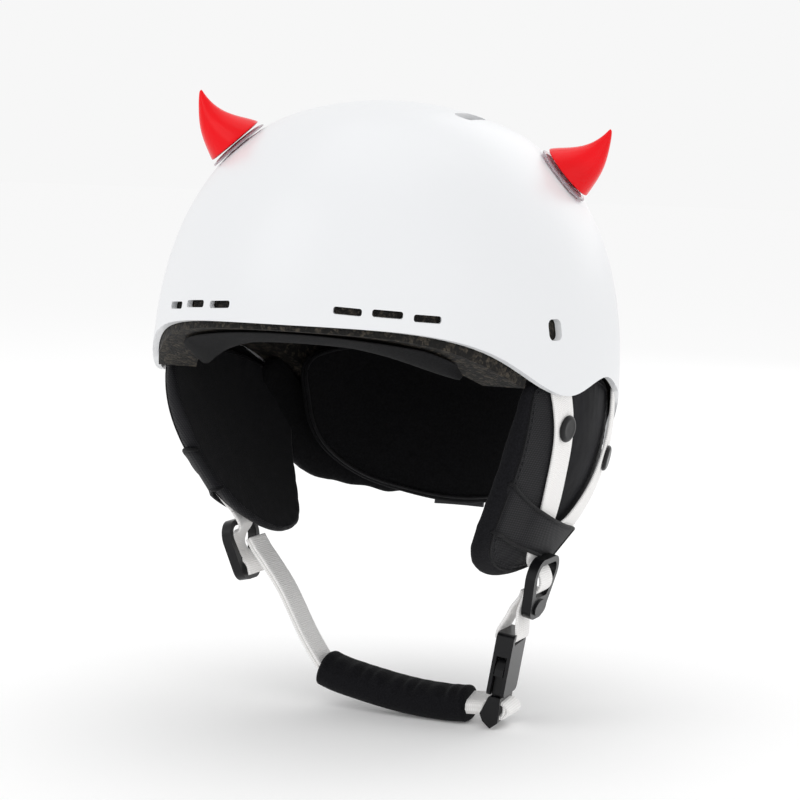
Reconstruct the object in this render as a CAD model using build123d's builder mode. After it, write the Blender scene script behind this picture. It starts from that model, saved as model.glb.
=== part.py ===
"""Ski helmet with ear pads, a chin strap with a side-release buckle, and two stick-on horns.

Millimetres. The origin is the middle of the dome at its widest level, where the head sits.
+Z is up, -Y is the front, and +X is the wearer's left.
"""
import os
from math import asin, cos, pi, radians, sin

from build123d import *

os.makedirs("parts", exist_ok=True)

# Shell: a superelliptic dome that leans back a little
HALF_WIDTH = 112.4
HALF_LENGTH = 137.6
CROWN_HEIGHT = 142.0
SKIRT_REACH = 190.0
SKIRT_DEPTH = 96.0
DOME_POWER = 2.45
CROWN_LEAN = -6.0
SHELL_WALL = 3.0

# Layers inside the shell, as depths below its outer surface
EPS_OUTER = 3.4
EPS_INNER = 22.0
LINER_FRONT = 22.4
LINER_BACK = 29.0
CRADLE_OUTER = 22.5
CRADLE_INNER = 24.1
NECK_LINER_OUTER = 24.6
NECK_LINER_INNER = 31.0
NECK_ROLL_OUTER = 4.6
NECK_ROLL_INNER = 18.0

# Ear pads: their outer face starts just inside the rim, then leans inward
CHEEK_START_Z = 8.0
CHEEK_HALF_WIDTH = 105.5
CHEEK_BULGE = 0.05
CHEEK_BOW = 0.003
CHEEK_TWIST = 0.0011
CHEEK_LEAN = {"left": 0.0040, "right": 0.0058}
EAR_PAD_THICKNESS = 12.0
# The right ear pad hangs folded in further, so its lower part reaches less far down
LOWER_REACH = {"left": 1.0, "right": 0.92}

# Webbing and the things that ride on it
WEBBING_WIDTH = 18.0
WEBBING_THICKNESS = 1.6
WEBBING_GAP = 0.4
KEEPER_THICKNESS = 1.2
SNAP_CAP_RADIUS = 6.5
SNAP_CAP_HEIGHT = 2.6

# Chin strap: it hangs in one upright plane across the helmet
CHIN_Y = -4.0
DIVIDER_Z = {"left": -92.0, "right": -87.0}
DIVIDER_X = {"left": 84.4, "right": 76.4}
DIVIDER_TILT = 12.7
DIVIDER_THICKNESS = 5.0

# Side-release buckle, measured along its own axis from the socket's mouth
BUCKLE_MOUTH = (66.5, CHIN_Y, -146.0)
BUCKLE_TILT = 9.4
BUCKLE_TWIST = 5.5
SOCKET_LENGTH = 32.0
SOCKET_WIDTH = 26.0
SOCKET_THICKNESS = 9.0
SOCKET_CAVITY = (24.0, 21.0, 5.4)
PRONG_LENGTH = 20.0

# Horns and their suction cups
HORN_HEIGHT = 30.0
HORN_BASE_RADIUS = 14.5
HORN_SEATS = {"left": ((82.0, 19.8, 108.5), (0.756, 0.119, 0.643)),
              "right": ((-63.0, -45.4, 119.3), (-0.596, -0.286, 0.750))}
CUP_RADIUS = 15.5
CUP_HEIGHT = 2.4
CUP_LIFT = 0.2
STEM_RADIUS = 4.0
STEM_LENGTH = 8.0

SIDES = {"left": 1, "right": -1}


def save(part, name):
    """Label a finished piece and write it."""
    part.label = name
    export_step(part, f"parts/{name}.step")


def superellipse(half_width, height, start, end, count=9):
    """Points of a superellipse in the XZ view, between two angles in radians."""
    power = 2 / DOME_POWER
    points = []
    for step in range(count):
        angle = start + (end - start) * step / (count - 1)
        across = max(0.0, cos(angle)) ** power * half_width
        up = abs(sin(angle)) ** power * height
        points.append((across, up if angle > 0 else -up))
    return points


def dome(inset):
    """Closed solid dome, its surface this far inside the shell's outer surface."""
    half_width = HALF_WIDTH - inset
    skirt_end = -asin((SKIRT_DEPTH / SKIRT_REACH) ** (DOME_POWER / 2))
    crown = superellipse(half_width, CROWN_HEIGHT - inset, 0.0, pi / 2)
    skirt = superellipse(half_width, SKIRT_REACH, 0.0, skirt_end, count=5)
    with BuildPart() as solid:
        with BuildSketch(Plane.XZ):
            with BuildLine():
                Spline(crown, tangents=((0, 1), (-1, 0)))
                Spline(skirt, tangents=((0, -1), (-0.12, -1)))
                Polyline(skirt[-1], (0, skirt[-1][1]), (0, CROWN_HEIGHT - inset))
            make_face()
        revolve(axis=Axis.Z)
        scale(by=(1, (HALF_LENGTH - inset) / half_width, 1))
    return solid.part.rotate(Axis.X, CROWN_LEAN)


def dome_layer(outer_inset, inner_inset):
    """Solid between two insets of the dome."""
    return dome(outer_inset) - dome(inner_inset)


def lowered(side_name, points):
    """Side-view points with everything below the origin drawn up or down to the side's own reach."""
    return [(y, z * LOWER_REACH[side_name] if z < 0 else z) for y, z in points]


def side_outline(points, smooth=False):
    """Closed outline in the side view, given as (y, z)."""
    with BuildSketch(Plane.YZ) as outline:
        with BuildLine():
            if smooth:
                Spline(points, periodic=True)
            else:
                Polyline(points, close=True)
        make_face()
    return outline.sketch


def region_above(rim_points):
    """Outline of everything above a rim line in the side view."""
    with BuildSketch(Plane.YZ) as region:
        with BuildLine():
            Spline(rim_points)
            Polyline(rim_points[-1], (160, 170), (-160, 170), rim_points[0])
        make_face()
    return region.sketch


def cheek_x(side_name, y, z, offset):
    """Half-width of the ear pad's outer face at a place in the side view."""
    drop = max(0.0, CHEEK_START_Z - z)
    leaned = CHEEK_HALF_WIDTH + CHEEK_BULGE * drop - CHEEK_LEAN[side_name] * drop ** 2
    return leaned + CHEEK_TWIST * drop * y - CHEEK_BOW * y ** 2 + offset


def cheek_layer(side_name, inner_offset, outer_offset):
    """Solid between two offsets of the ear pad's outer face."""
    side = SIDES[side_name]
    with BuildPart() as layer:
        for z in (26, 0, -26, -52, -78, -104):
            with BuildSketch(Plane.XY.offset(z)):
                with BuildLine():
                    outer = [(side * cheek_x(side_name, y, z, outer_offset), y) for y in (-80, 0, 80)]
                    inner = [(side * cheek_x(side_name, y, z, inner_offset), y) for y in (-80, 0, 80)]
                    outer_edge = Spline(outer)
                    inner_edge = Spline(inner)
                    Line(outer_edge @ 0, inner_edge @ 0)
                    Line(outer_edge @ 1, inner_edge @ 1)
                make_face()
        loft()
    return layer.part


def cheek_plane(side_name, y, z, offset):
    """Plane on the ear pad's outer face, its normal pointing out of the pad."""
    side = SIDES[side_name]
    here = cheek_x(side_name, y, z, offset)
    slope_y = cheek_x(side_name, y + 1, z, offset) - here
    slope_z = cheek_x(side_name, y, z + 1, offset) - here
    return Plane(origin=(side * here, y, z), x_dir=(side * slope_y, 1, 0), z_dir=(side, -slope_y, -slope_z))


# ---------------------------------------------------------------- shell and liner

RIM_LINE = [(-160, 40.6), (-126, 39.7), (-101, 34.8), (-81, 26.6), (-59, 13.6), (-37, 6.4),
            (-14, 10.0), (7, 12.3), (33, 4.6), (50, -1.5), (85, -30), (115, -50), (160, -58)]
EPS_FRONT_LINE = [(-160, 37.5), (-126, 36.8), (-100, 30.0), (-80, 20.0), (-64, 11.5)]
EPS_REAR_LINE = [(-61, 20), (12, 21), (45, 13), (70, -3), (88, -21), (115, -39), (160, -47)]
SIDE_HOLE = (-46.0, 38.0)
FRONT_SLOTS = [(32.1, -125.8, 47.4, 13.0), (48.5, -118.0, 46.5, 14.0), (63.7, -107.4, 44.5, 13.0)]
FRONT_SLOT_HEIGHT = 3.4
REAR_SLOTS = (22.0, 40.0)
REAR_SLOT_Z = 62.0
TOP_VENT = (43.0, -8.0)
TOP_VENT_SIZE = (26.0, 9.0)


def slot_cutters():
    """Bars that cut the small slots through the shell, front and rear."""
    cutters = []
    for side in (1, -1):
        for x, y, z, length in FRONT_SLOTS:
            turn = radians(side * x * 0.5)
            face = Plane(origin=(side * x, y, z), x_dir=(cos(turn), sin(turn), -side * sin(radians(4))),
                         z_dir=(sin(turn), -cos(turn), 0))
            with BuildPart() as bar:
                with BuildSketch(face):
                    RectangleRounded(length, FRONT_SLOT_HEIGHT, 1.2)
                extrude(amount=14, both=True)
            cutters.append(bar.part)
        for x in REAR_SLOTS:
            cutters.append(Pos(side * x, 130, REAR_SLOT_Z) * Box(13, 60, 4.5))
    return cutters


shell_body = dome_layer(0.0, SHELL_WALL)
slots = slot_cutters()
with BuildPart() as outer_shell:
    add(shell_body)
    extrude(region_above(RIM_LINE), amount=HALF_WIDTH + 10, both=True, mode=Mode.INTERSECT)
    add(slots, mode=Mode.SUBTRACT)
    with BuildSketch(Plane.YZ):
        with Locations(SIDE_HOLE):
            RectangleRounded(9.5, 10.0, 3.0)
    extrude(amount=HALF_WIDTH + 10, both=True, mode=Mode.SUBTRACT)
    with BuildSketch(Plane.XY.offset(90)):
        with Locations((TOP_VENT[0], TOP_VENT[1]), (-TOP_VENT[0], TOP_VENT[1])):
            SlotOverall(*TOP_VENT_SIZE, rotation=90)
    extrude(amount=80, mode=Mode.SUBTRACT)
save(outer_shell.part, "outer_shell")

eps_body = dome_layer(EPS_OUTER, EPS_INNER)
with BuildSketch(Plane.YZ) as eps_region:
    with BuildLine():
        Spline(EPS_FRONT_LINE)
        Line(EPS_FRONT_LINE[-1], EPS_REAR_LINE[0])
        Spline(EPS_REAR_LINE)
        Polyline(EPS_REAR_LINE[-1], (160, 170), (-160, 170), EPS_FRONT_LINE[0])
    make_face()
with BuildPart() as eps_liner:
    add(eps_body)
    extrude(eps_region.sketch, amount=HALF_WIDTH + 10, both=True, mode=Mode.INTERSECT)
    with BuildSketch(Plane.XY.offset(80)):
        with Locations((TOP_VENT[0], TOP_VENT[1]), (-TOP_VENT[0], TOP_VENT[1])):
            SlotOverall(TOP_VENT_SIZE[0] - 3, TOP_VENT_SIZE[1] - 2, rotation=90)
    extrude(amount=80, mode=Mode.SUBTRACT)
save(eps_liner.part, "eps_liner")

liner_layer = dome_layer(LINER_FRONT, LINER_BACK)
with BuildPart() as brow_pad:
    add(liner_layer)
    extrude(side_outline([(-140, 41), (-100, 36), (-62, 34), (-58, 62), (-140, 78)]), amount=70,
            both=True, mode=Mode.INTERSECT)
save(brow_pad.part, "brow_pad")

with BuildPart() as crown_pad:
    add(liner_layer)
    with BuildSketch(Plane.XY.offset(80)):
        with Locations((0, 8)):
            RectangleRounded(62, 104, 26)
    extrude(amount=60, mode=Mode.INTERSECT)
save(crown_pad.part, "crown_pad")

for side_name, side in SIDES.items():
    with BuildPart() as side_liner:
        add(liner_layer)
        extrude(side_outline([(-50, 24), (50, 22), (44, 84), (-40, 86)]), amount=side * 120, mode=Mode.INTERSECT)
        with BuildSketch(Plane.XY):
            with Locations((side * 80, 0)):
                Rectangle(90, 160)
        extrude(amount=120, mode=Mode.INTERSECT)
    save(side_liner.part, f"side_liner_{side_name}")

# ---------------------------------------------------------------- rear fit and neck

cradle_layer = dome_layer(CRADLE_OUTER, CRADLE_INNER)
with BuildPart() as fit_cradle:
    add(cradle_layer)
    with BuildSketch(Plane.XZ):
        with BuildLine():
            Polyline((-52, -12), (-48, -44), (-14, -56), (-14, -71.5), (14, -71.5), (14, -56), (48, -44),
                     (52, -12), (26, -4), (-26, -4), close=True)
        make_face()
    extrude(amount=-150, mode=Mode.INTERSECT)
save(fit_cradle.part, "fit_cradle")

neck_layer = dome_layer(NECK_LINER_OUTER, NECK_LINER_INNER)
with BuildPart() as neck_liner:
    add(neck_layer)
    with BuildSketch(Plane.XZ):
        with BuildLine():
            Polyline((-72, 14), (-72, -24), (-60, -45), (-40, -58), (-12, -67), (12, -67), (40, -58),
                     (60, -45), (72, -24), (72, 14), close=True)
        make_face()
    extrude(amount=-150, mode=Mode.INTERSECT)
save(neck_liner.part, "neck_liner")

roll_layer = dome_layer(NECK_ROLL_OUTER, NECK_ROLL_INNER)
with BuildPart() as neck_roll:
    add(roll_layer)
    extrude(side_outline([(76, -17), (89, -26), (115, -43.5), (160, -51), (160, -70), (110, -67), (86, -61),
                          (72, -54)]), amount=120, both=True, mode=Mode.INTERSECT)
save(neck_roll.part, "neck_roll")

# ---------------------------------------------------------------- ear pads, straps and caps

EAR_PAD_OUTLINE = {
    "left": [(-57, 8), (-59, -20), (-58, -50), (-49, -72), (-25, -84.5), (8, -85.5), (38, -79), (54, -64),
             (63, -42), (66, -20), (60, -5), (44, 6), (20, 13.5), (0, 15.5), (-22, 12.5), (-40, 11.5), (-52, 13)],
    "right": [(-57, 8), (-58, -8), (-50, -30), (-39, -50), (-25, -68), (-6, -81), (12, -85.5), (32, -82),
              (48, -66), (60, -42), (66, -20), (60, -5), (44, 6), (20, 13.5), (0, 15.5), (-22, 12.5), (-40, 11.5),
              (-52, 13)]}
KEEPER_OUTLINE = [(-55, -38), (-34, -49), (-10, -59), (20, -65), (18, -75.5), (-10, -74), (-36, -67),
                  (-52, -60)]
FRONT_STRAP_ROUTE = [(-36, 12), (-29, -10), (-24, -36), (-14, -62), (-9.5, -72)]
REAR_STRAP_ROUTE = [(49, 1), (41, -22), (29, -45), (12, -63), (2, -72)]
FRONT_CAP = (-28.5, -10.0)
REAR_CAP = (36.5, -31.0)


STRAP_RIVETS = [(-35.5, 9.0), (48.5, -0.5)]
RIVET_RADIUS = 2.5
RIVET_HEIGHT = 0.5


def strap_outline(route, width):
    """Outline of a strap in the side view, along a route of (y, z) points."""
    with BuildSketch(Plane.YZ) as outline:
        with BuildLine():
            Spline(route)
        trace(line_width=width)
    return outline.sketch


strap_outside = WEBBING_GAP + WEBBING_THICKNESS
for side_name, side in SIDES.items():
    reach = side * 130
    front_route = lowered(side_name, FRONT_STRAP_ROUTE)
    rear_route = lowered(side_name, REAR_STRAP_ROUTE)
    pad_layer = cheek_layer(side_name, -EAR_PAD_THICKNESS, 0.0)
    strap_layer = cheek_layer(side_name, WEBBING_GAP, strap_outside)
    keeper_layer = cheek_layer(side_name, strap_outside + 0.6, strap_outside + 0.6 + KEEPER_THICKNESS)

    pad_outline = lowered(side_name, EAR_PAD_OUTLINE[side_name])

    with BuildPart() as ear_pad:
        add(pad_layer)
        extrude(side_outline(pad_outline, smooth=True), amount=reach, mode=Mode.INTERSECT)
    save(ear_pad.part, f"ear_pad_{side_name}")

    with BuildPart() as front_strap:
        add(strap_layer)
        extrude(strap_outline(front_route, WEBBING_WIDTH), amount=reach, mode=Mode.INTERSECT)
    save(front_strap.part, f"front_strap_{side_name}")

    # The rear strap runs up to the front strap's edge, where the two are sewn together
    with BuildPart() as rear_strap:
        add(strap_layer)
        extrude(strap_outline(rear_route, WEBBING_WIDTH), amount=reach, mode=Mode.INTERSECT)
        extrude(strap_outline(front_route, WEBBING_WIDTH + 0.6), amount=reach, mode=Mode.SUBTRACT)
    save(rear_strap.part.solids().sort_by(SortBy.VOLUME)[-1], f"rear_strap_{side_name}")

    with BuildPart() as strap_keeper:
        add(keeper_layer)
        extrude(side_outline(lowered(side_name, KEEPER_OUTLINE)), amount=reach, mode=Mode.INTERSECT)
    save(strap_keeper.part, f"strap_keeper_{side_name}")

    # Press-stud caps: one on each strap, just under the shell's rim
    with BuildPart() as snap_caps:
        for cap_place in lowered(side_name, (FRONT_CAP, REAR_CAP)):
            with BuildSketch(cheek_plane(side_name, *cap_place, strap_outside + 0.1)):
                Circle(SNAP_CAP_RADIUS)
            extrude(amount=SNAP_CAP_HEIGHT, taper=25)
    save(snap_caps.part, f"snap_caps_{side_name}")

    # Rivets that hold the straps' upper ends, hidden behind the rim
    with BuildPart() as strap_rivets:
        for rivet_place in STRAP_RIVETS:
            with BuildSketch(cheek_plane(side_name, *rivet_place, strap_outside + 0.4)):
                Circle(RIVET_RADIUS)
            extrude(amount=RIVET_HEIGHT)
    save(strap_rivets.part, f"strap_rivets_{side_name}")

    # Divider: a rounded triangular plate that gathers the two straps above the chin strap
    tilt = radians(DIVIDER_TILT)
    divider_plane = Plane(origin=(side * DIVIDER_X[side_name], CHIN_Y, DIVIDER_Z[side_name]),
                          x_dir=(0, side, 0), z_dir=(side * cos(tilt), 0, -sin(tilt)))
    with BuildPart() as divider:
        with BuildSketch(divider_plane.offset(-DIVIDER_THICKNESS / 2)):
            with BuildSketch(mode=Mode.PRIVATE) as window:
                with Locations((-8.0, 8.0), (8.0, 8.0)):
                    Circle(5.0)
                with Locations((-6.0, -1.0), (6.0, -1.0)):
                    Circle(3.2)
                make_hull()
            with Locations((-8.0, 7.5), (8.0, 7.5)):
                Circle(8.5)
            with Locations((-3.5, -7.5), (3.5, -7.5)):
                Circle(8.0)
            make_hull()
            add(window.sketch, mode=Mode.SUBTRACT)
        extrude(amount=DIVIDER_THICKNESS)
        with BuildSketch(divider_plane.offset(DIVIDER_THICKNESS / 2)):
            with Locations((0, -9.6)):
                Ellipse(7.6, 4.2)
        extrude(amount=1.2)
    save(divider.part, f"divider_{side_name}")

# ---------------------------------------------------------------- chin strap

chin_plane = Plane.XZ.offset(-CHIN_Y)
with BuildPart() as chin_strap:
    with BuildSketch(chin_plane):
        with BuildLine():
            Spline([(-65.5, -88.0), (-62.0, -92.0), (-51.9, -105.6), (-40.1, -126.7), (-31.5, -139.5)])
        trace(line_width=2 * WEBBING_THICKNESS)
    extrude(amount=WEBBING_WIDTH / 2, both=True)
save(chin_strap.part, "chin_strap")

CHIN_PAD_SIZE = (22.0, 17.0)
with BuildPart() as chin_pad:
    with BuildLine(chin_plane):
        pad_path = ThreePointArc((-28.5, -143.5), (14.0, -152.8), (51.0, -153.6))
    with BuildSketch(Plane(origin=pad_path @ 0, x_dir=(0, 1, 0), z_dir=pad_path % 0)):
        RectangleRounded(*CHIN_PAD_SIZE, 6.0)
    sweep()
save(chin_pad.part, "chin_pad")

lean = radians(BUCKLE_TILT)
twist = radians(BUCKLE_TWIST)
buckle = Plane(origin=BUCKLE_MOUTH, x_dir=(sin(lean), 0, cos(lean)),
               z_dir=(cos(lean) * cos(twist), sin(twist), -sin(lean) * cos(twist)))
buckle_edge = Plane(origin=buckle.origin, x_dir=buckle.x_dir, z_dir=buckle.y_dir)

with BuildPart() as buckle_socket:
    with BuildSketch(buckle.offset(-SOCKET_THICKNESS / 2)):
        with Locations((SOCKET_LENGTH / 2, 0)):
            RectangleRounded(SOCKET_LENGTH, SOCKET_WIDTH, 3.0)
    extrude(amount=SOCKET_THICKNESS)
    cavity_length, cavity_width, cavity_height = SOCKET_CAVITY
    with BuildSketch(buckle.offset(-cavity_height / 2)):
        with Locations((PRONG_LENGTH / 2, 0)):
            Rectangle(PRONG_LENGTH + 1, SOCKET_WIDTH + 2)
        with Locations((cavity_length / 2, 0)):
            Rectangle(cavity_length, 7)
    extrude(amount=cavity_height, mode=Mode.SUBTRACT)
    with BuildSketch(buckle.offset(-SOCKET_THICKNESS)):
        with Locations((SOCKET_LENGTH - 4.0, 0)):
            SlotOverall(WEBBING_WIDTH + 1.6, 3.0, rotation=90)
    extrude(amount=2 * SOCKET_THICKNESS, mode=Mode.SUBTRACT)
save(buckle_socket.part, "buckle_socket")

PLUG_SLOTS = (-4.2, -10.6)
PLUG_WIDTH = 24.0
PLUG_PROFILE = [(-0.5, -3.0), (-0.5, 3.0), (-12.8, 3.8), (-16.5, 0.4), (-13.5, -4.0), (-10.0, -6.0), (-7.0, -5.0)]
with BuildPart() as buckle_plug:
    # Seen from the edge the base widens and turns in towards the chin pad
    with BuildSketch(buckle_edge):
        with BuildLine():
            Polyline([(x, -y) for x, y in PLUG_PROFILE], close=True)
        make_face()
        fillet(vertices(), radius=0.8)
    extrude(amount=PLUG_WIDTH / 2, both=True)
    with BuildSketch(buckle.offset(-12)):
        with Locations(*[(slot_x, 0) for slot_x in PLUG_SLOTS]):
            SlotOverall(WEBBING_WIDTH + 1.6, 3.0, rotation=90)
    extrude(amount=24, mode=Mode.SUBTRACT)
    with BuildSketch(buckle.offset(-1.5)):
        with Locations((PRONG_LENGTH / 2 - 1, 0)):
            Rectangle(PRONG_LENGTH, 5)
    extrude(amount=3)
save(buckle_plug.part, "buckle_plug")

for prong_name, prong_side in (("prong_front", 1), ("prong_rear", -1)):
    with BuildPart() as prong:
        with BuildSketch(buckle.offset(-2.2)):
            with BuildLine():
                outline = [(0.0, 6.6), (0.0, 9.2), (9.5, 9.2), (10.5, 13.2), (14.0, 13.2), (19.0, 9.4), (19.0, 6.6)]
                Polyline([(x, prong_side * y) for x, y in outline], close=True)
            make_face()
        extrude(amount=4.4)
    save(prong.part, prong_name)

with BuildPart() as plug_webbing:
    with BuildSketch(buckle_edge):
        with BuildLine():
            Line((PLUG_SLOTS[1], 6.0), (PLUG_SLOTS[1], -5.0))
            ThreePointArc((PLUG_SLOTS[1], -5.0), (sum(PLUG_SLOTS) / 2, -8.6), (PLUG_SLOTS[0], -5.0))
            Line((PLUG_SLOTS[0], -5.0), (PLUG_SLOTS[0], 6.0))
        trace(line_width=WEBBING_THICKNESS)
    extrude(amount=WEBBING_WIDTH / 2, both=True)
save(plug_webbing.part, "plug_webbing")

with BuildPart() as short_strap:
    with BuildSketch(chin_plane):
        with BuildLine():
            Line((76.0, -101.0), (72.6, -113.2))
        trace(line_width=2.6 * WEBBING_THICKNESS)
    extrude(amount=WEBBING_WIDTH / 2, both=True)
save(short_strap.part, "short_strap")

# ---------------------------------------------------------------- horns and their suction cups

HORN_SECTIONS = [(2.4, HORN_BASE_RADIUS, 0.0), (5.0, 13.6, -0.3), (11.0, 10.6, -1.6), (18.0, 7.3, -2.2),
                 (25.0, 4.0, -0.8), (30.0, 1.7, 1.5), (HORN_HEIGHT + 2.4, 0.6, 3.0)]
for side_name, (seat, normal) in HORN_SEATS.items():
    outward = Vector(*normal).normalized()
    upward = (Vector(0, 0, 1) - outward * outward.Z).normalized()
    seat_plane = Plane(origin=seat, x_dir=upward, z_dir=outward)
    cup_side = Plane(origin=seat, x_dir=upward, z_dir=upward.cross(outward))
    with BuildPart() as suction_cup:
        with BuildSketch(cup_side):
            with BuildLine():
                Polyline((0, 1.0), (CUP_RADIUS, CUP_LIFT), (CUP_RADIUS, CUP_LIFT + 0.8), (STEM_RADIUS, 2.1),
                         (STEM_RADIUS, 2.1 + STEM_LENGTH), (0, 2.1 + STEM_LENGTH), close=True)
            make_face()
        revolve(axis=Axis(origin=seat, direction=outward))
    save(suction_cup.part, f"suction_cup_{side_name}")

    with BuildPart() as horn:
        for height, radius, offset_up in HORN_SECTIONS:
            with BuildSketch(seat_plane.offset(height)):
                with Locations((offset_up, 0)):
                    Circle(radius)
        loft()
        with BuildSketch(seat_plane.offset(HORN_SECTIONS[0][0])):
            Circle(STEM_RADIUS + 0.06)
        extrude(amount=STEM_LENGTH + 0.4, mode=Mode.SUBTRACT)
    save(horn.part, f"horn_{side_name}")

# ---------------------------------------------------------------- goggle strap retainer at the rear

GOGGLE_PIN = (143.2, 22.0)
GOGGLE_STRAP_WIDTH = 22.0
base_layer = dome_layer(-1.6, -0.2)
with BuildPart() as goggle_base:
    add(base_layer)
    with BuildSketch(Plane.XZ):
        with Locations((0, 23)):
            RectangleRounded(36, 17, 4)
    extrude(amount=-160, mode=Mode.INTERSECT)
    for lug_x in (-15.6, 12.4):
        with BuildSketch(Plane.YZ.offset(lug_x)):
            with Locations(GOGGLE_PIN, (137.5, 18.5), (137.0, 26)):
                Circle(3.4)
            make_hull()
        extrude(amount=3.2)
    add(dome(-0.2), mode=Mode.SUBTRACT)
    with BuildSketch(Plane.YZ.offset(-20)):
        with Locations(GOGGLE_PIN):
            Circle(1.3)
    extrude(amount=40, mode=Mode.SUBTRACT)
save(goggle_base.part, "goggle_base")

with BuildPart() as goggle_pin:
    with BuildSketch(Plane.YZ.offset(-16.5)):
        with Locations(GOGGLE_PIN):
            Circle(1.25)
    extrude(amount=33)
save(goggle_pin.part, "goggle_pin")

strap_shape = dome_layer(-4.4, -2.2)
with BuildPart() as goggle_strap:
    add(strap_shape)
    with BuildSketch(Plane.XZ):
        with Locations((0, -9)):
            RectangleRounded(GOGGLE_STRAP_WIDTH, 58, 6)
    extrude(amount=-160, mode=Mode.INTERSECT)
    with BuildSketch(Plane.YZ.offset(-GOGGLE_STRAP_WIDTH / 2)):
        with Locations(GOGGLE_PIN):
            Circle(2.5)
        with Locations((144.0, 16.0)):
            Circle(1.2)
        make_hull()
    extrude(amount=GOGGLE_STRAP_WIDTH)
    with BuildSketch(Plane.YZ.offset(-20)):
        with Locations(GOGGLE_PIN):
            Circle(1.31)
    extrude(amount=40, mode=Mode.SUBTRACT)
save(goggle_strap.part, "goggle_strap")

for snap_name, snap_inner, snap_outer, snap_radius in (("goggle_stud", -0.2, -1.8, 5.0),
                                                       ("goggle_snap_cap", -4.5, -6.6, 6.5)):
    snap_layer = dome_layer(snap_outer, snap_inner)
    with BuildPart() as goggle_snap:
        add(snap_layer)
        with BuildSketch(Plane.XZ):
            with Locations((0, -28)):
                Circle(snap_radius)
        extrude(amount=-160, mode=Mode.INTERSECT)
    save(goggle_snap.part, snap_name)
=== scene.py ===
"""Looks of the ski helmet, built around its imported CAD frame.

Helpers and tables are in millimetres, in the CAD frame; new_piece turns them into metres.
"""
import math

import bpy
import numpy as np
from mathutils import Matrix, Vector


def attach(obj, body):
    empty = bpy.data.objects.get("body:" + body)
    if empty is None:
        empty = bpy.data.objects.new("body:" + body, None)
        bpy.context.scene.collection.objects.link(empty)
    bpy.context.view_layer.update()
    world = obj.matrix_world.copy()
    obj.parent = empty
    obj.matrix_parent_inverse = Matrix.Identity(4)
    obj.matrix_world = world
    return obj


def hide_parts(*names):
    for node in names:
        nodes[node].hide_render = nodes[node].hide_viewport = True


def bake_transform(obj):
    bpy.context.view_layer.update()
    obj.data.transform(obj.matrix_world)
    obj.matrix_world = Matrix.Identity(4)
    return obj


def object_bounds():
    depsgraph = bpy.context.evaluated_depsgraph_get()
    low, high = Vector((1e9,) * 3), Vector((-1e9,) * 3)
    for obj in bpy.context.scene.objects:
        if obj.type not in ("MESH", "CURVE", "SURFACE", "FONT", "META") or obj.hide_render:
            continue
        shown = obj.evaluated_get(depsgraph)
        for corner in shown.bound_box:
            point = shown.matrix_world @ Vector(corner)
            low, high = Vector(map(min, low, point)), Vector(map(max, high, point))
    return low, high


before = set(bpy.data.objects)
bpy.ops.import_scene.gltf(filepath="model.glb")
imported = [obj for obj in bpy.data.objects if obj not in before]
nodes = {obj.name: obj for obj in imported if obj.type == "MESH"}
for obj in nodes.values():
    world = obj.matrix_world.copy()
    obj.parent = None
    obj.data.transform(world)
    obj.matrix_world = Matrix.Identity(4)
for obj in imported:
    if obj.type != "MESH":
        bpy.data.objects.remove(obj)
cad_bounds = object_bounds()
MM = 0.001
SIDES = {"left": 1, "right": -1}

# Camera: where it stands and what it turns to, in degrees and metres
CAMERA_AZIMUTH, CAMERA_ELEVATION, CAMERA_ROLL = 22.5, 6.0, 1.5
CAMERA_DISTANCE, CAMERA_SHIFT_RIGHT, CAMERA_SHIFT_DOWN = 1.3, 0.00605, 0.00553
CAMERA_LENS, CAMERA_SENSOR, CAMERA_FAR = 117, 36, 20
FLOOR_REACH, FLOOR_GAP = 9.0, 0.0005
WORLD_STRENGTH = 0.93

# Dome of the shell and the face of the ear pads, the same as in the CAD
HALF_WIDTH, HALF_LENGTH, CROWN_HEIGHT = 112.4, 137.6, 142.0
SKIRT_REACH, DOME_POWER, CROWN_LEAN = 190.0, 2.45, math.radians(6.0)
CHEEK_HALF_WIDTH, CHEEK_START_Z = 105.5, 8.0
CHEEK_LEAN = {"left": 0.0040, "right": 0.0058}
LOWER_REACH = {"left": 1.0, "right": 0.92}

# Strap dividers, buckle and chin strap, the same as in the CAD
DIVIDER_X = {"left": 84.4, "right": 76.4}
DIVIDER_Z = {"left": -92.0, "right": -87.0}
DIVIDER_TILT = math.radians(12.7)
BUCKLE_TILT, BUCKLE_TWIST = math.radians(9.4), math.radians(5.5)
CHIN_Y = -4.0
BUCKLE_MOUTH = (66.5, CHIN_Y, -146.0)
WEBBING, WEBBING_THICK = 18.0, 1.6


# ---------------------------------------------------------------- camera, light and floor

def camera():
    azimuth, elevation = math.radians(CAMERA_AZIMUTH), math.radians(CAMERA_ELEVATION)
    roll = math.radians(CAMERA_ROLL)
    back = Vector((math.sin(azimuth) * math.cos(elevation), -math.cos(azimuth) * math.cos(elevation),
                   math.sin(elevation)))
    level = Vector((math.cos(azimuth), math.sin(azimuth), 0))
    upright = back.cross(level)
    right = level * math.cos(roll) + upright * math.sin(roll)
    up = upright * math.cos(roll) - level * math.sin(roll)
    data = bpy.data.cameras.new("camera")
    data.lens = CAMERA_LENS
    data.sensor_width = CAMERA_SENSOR
    data.clip_end = CAMERA_FAR
    obj = bpy.data.objects.new("camera", data)
    place = back * CAMERA_DISTANCE + right * CAMERA_SHIFT_RIGHT - up * CAMERA_SHIFT_DOWN
    turn = Matrix((right, up, back)).transposed().to_4x4()
    obj.matrix_world = Matrix.Translation(place) @ turn
    bpy.context.scene.collection.objects.link(obj)
    bpy.context.scene.camera = obj


def area_light(name, place, size, power):
    """A square light that points at the origin."""
    data = bpy.data.lights.new(name, "AREA")
    data.size = size
    data.energy = power
    obj = bpy.data.objects.new(name, data)
    obj.location = place
    obj.rotation_euler = (-Vector(place)).to_track_quat("-Z", "Y").to_euler()
    bpy.context.scene.collection.objects.link(obj)


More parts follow.
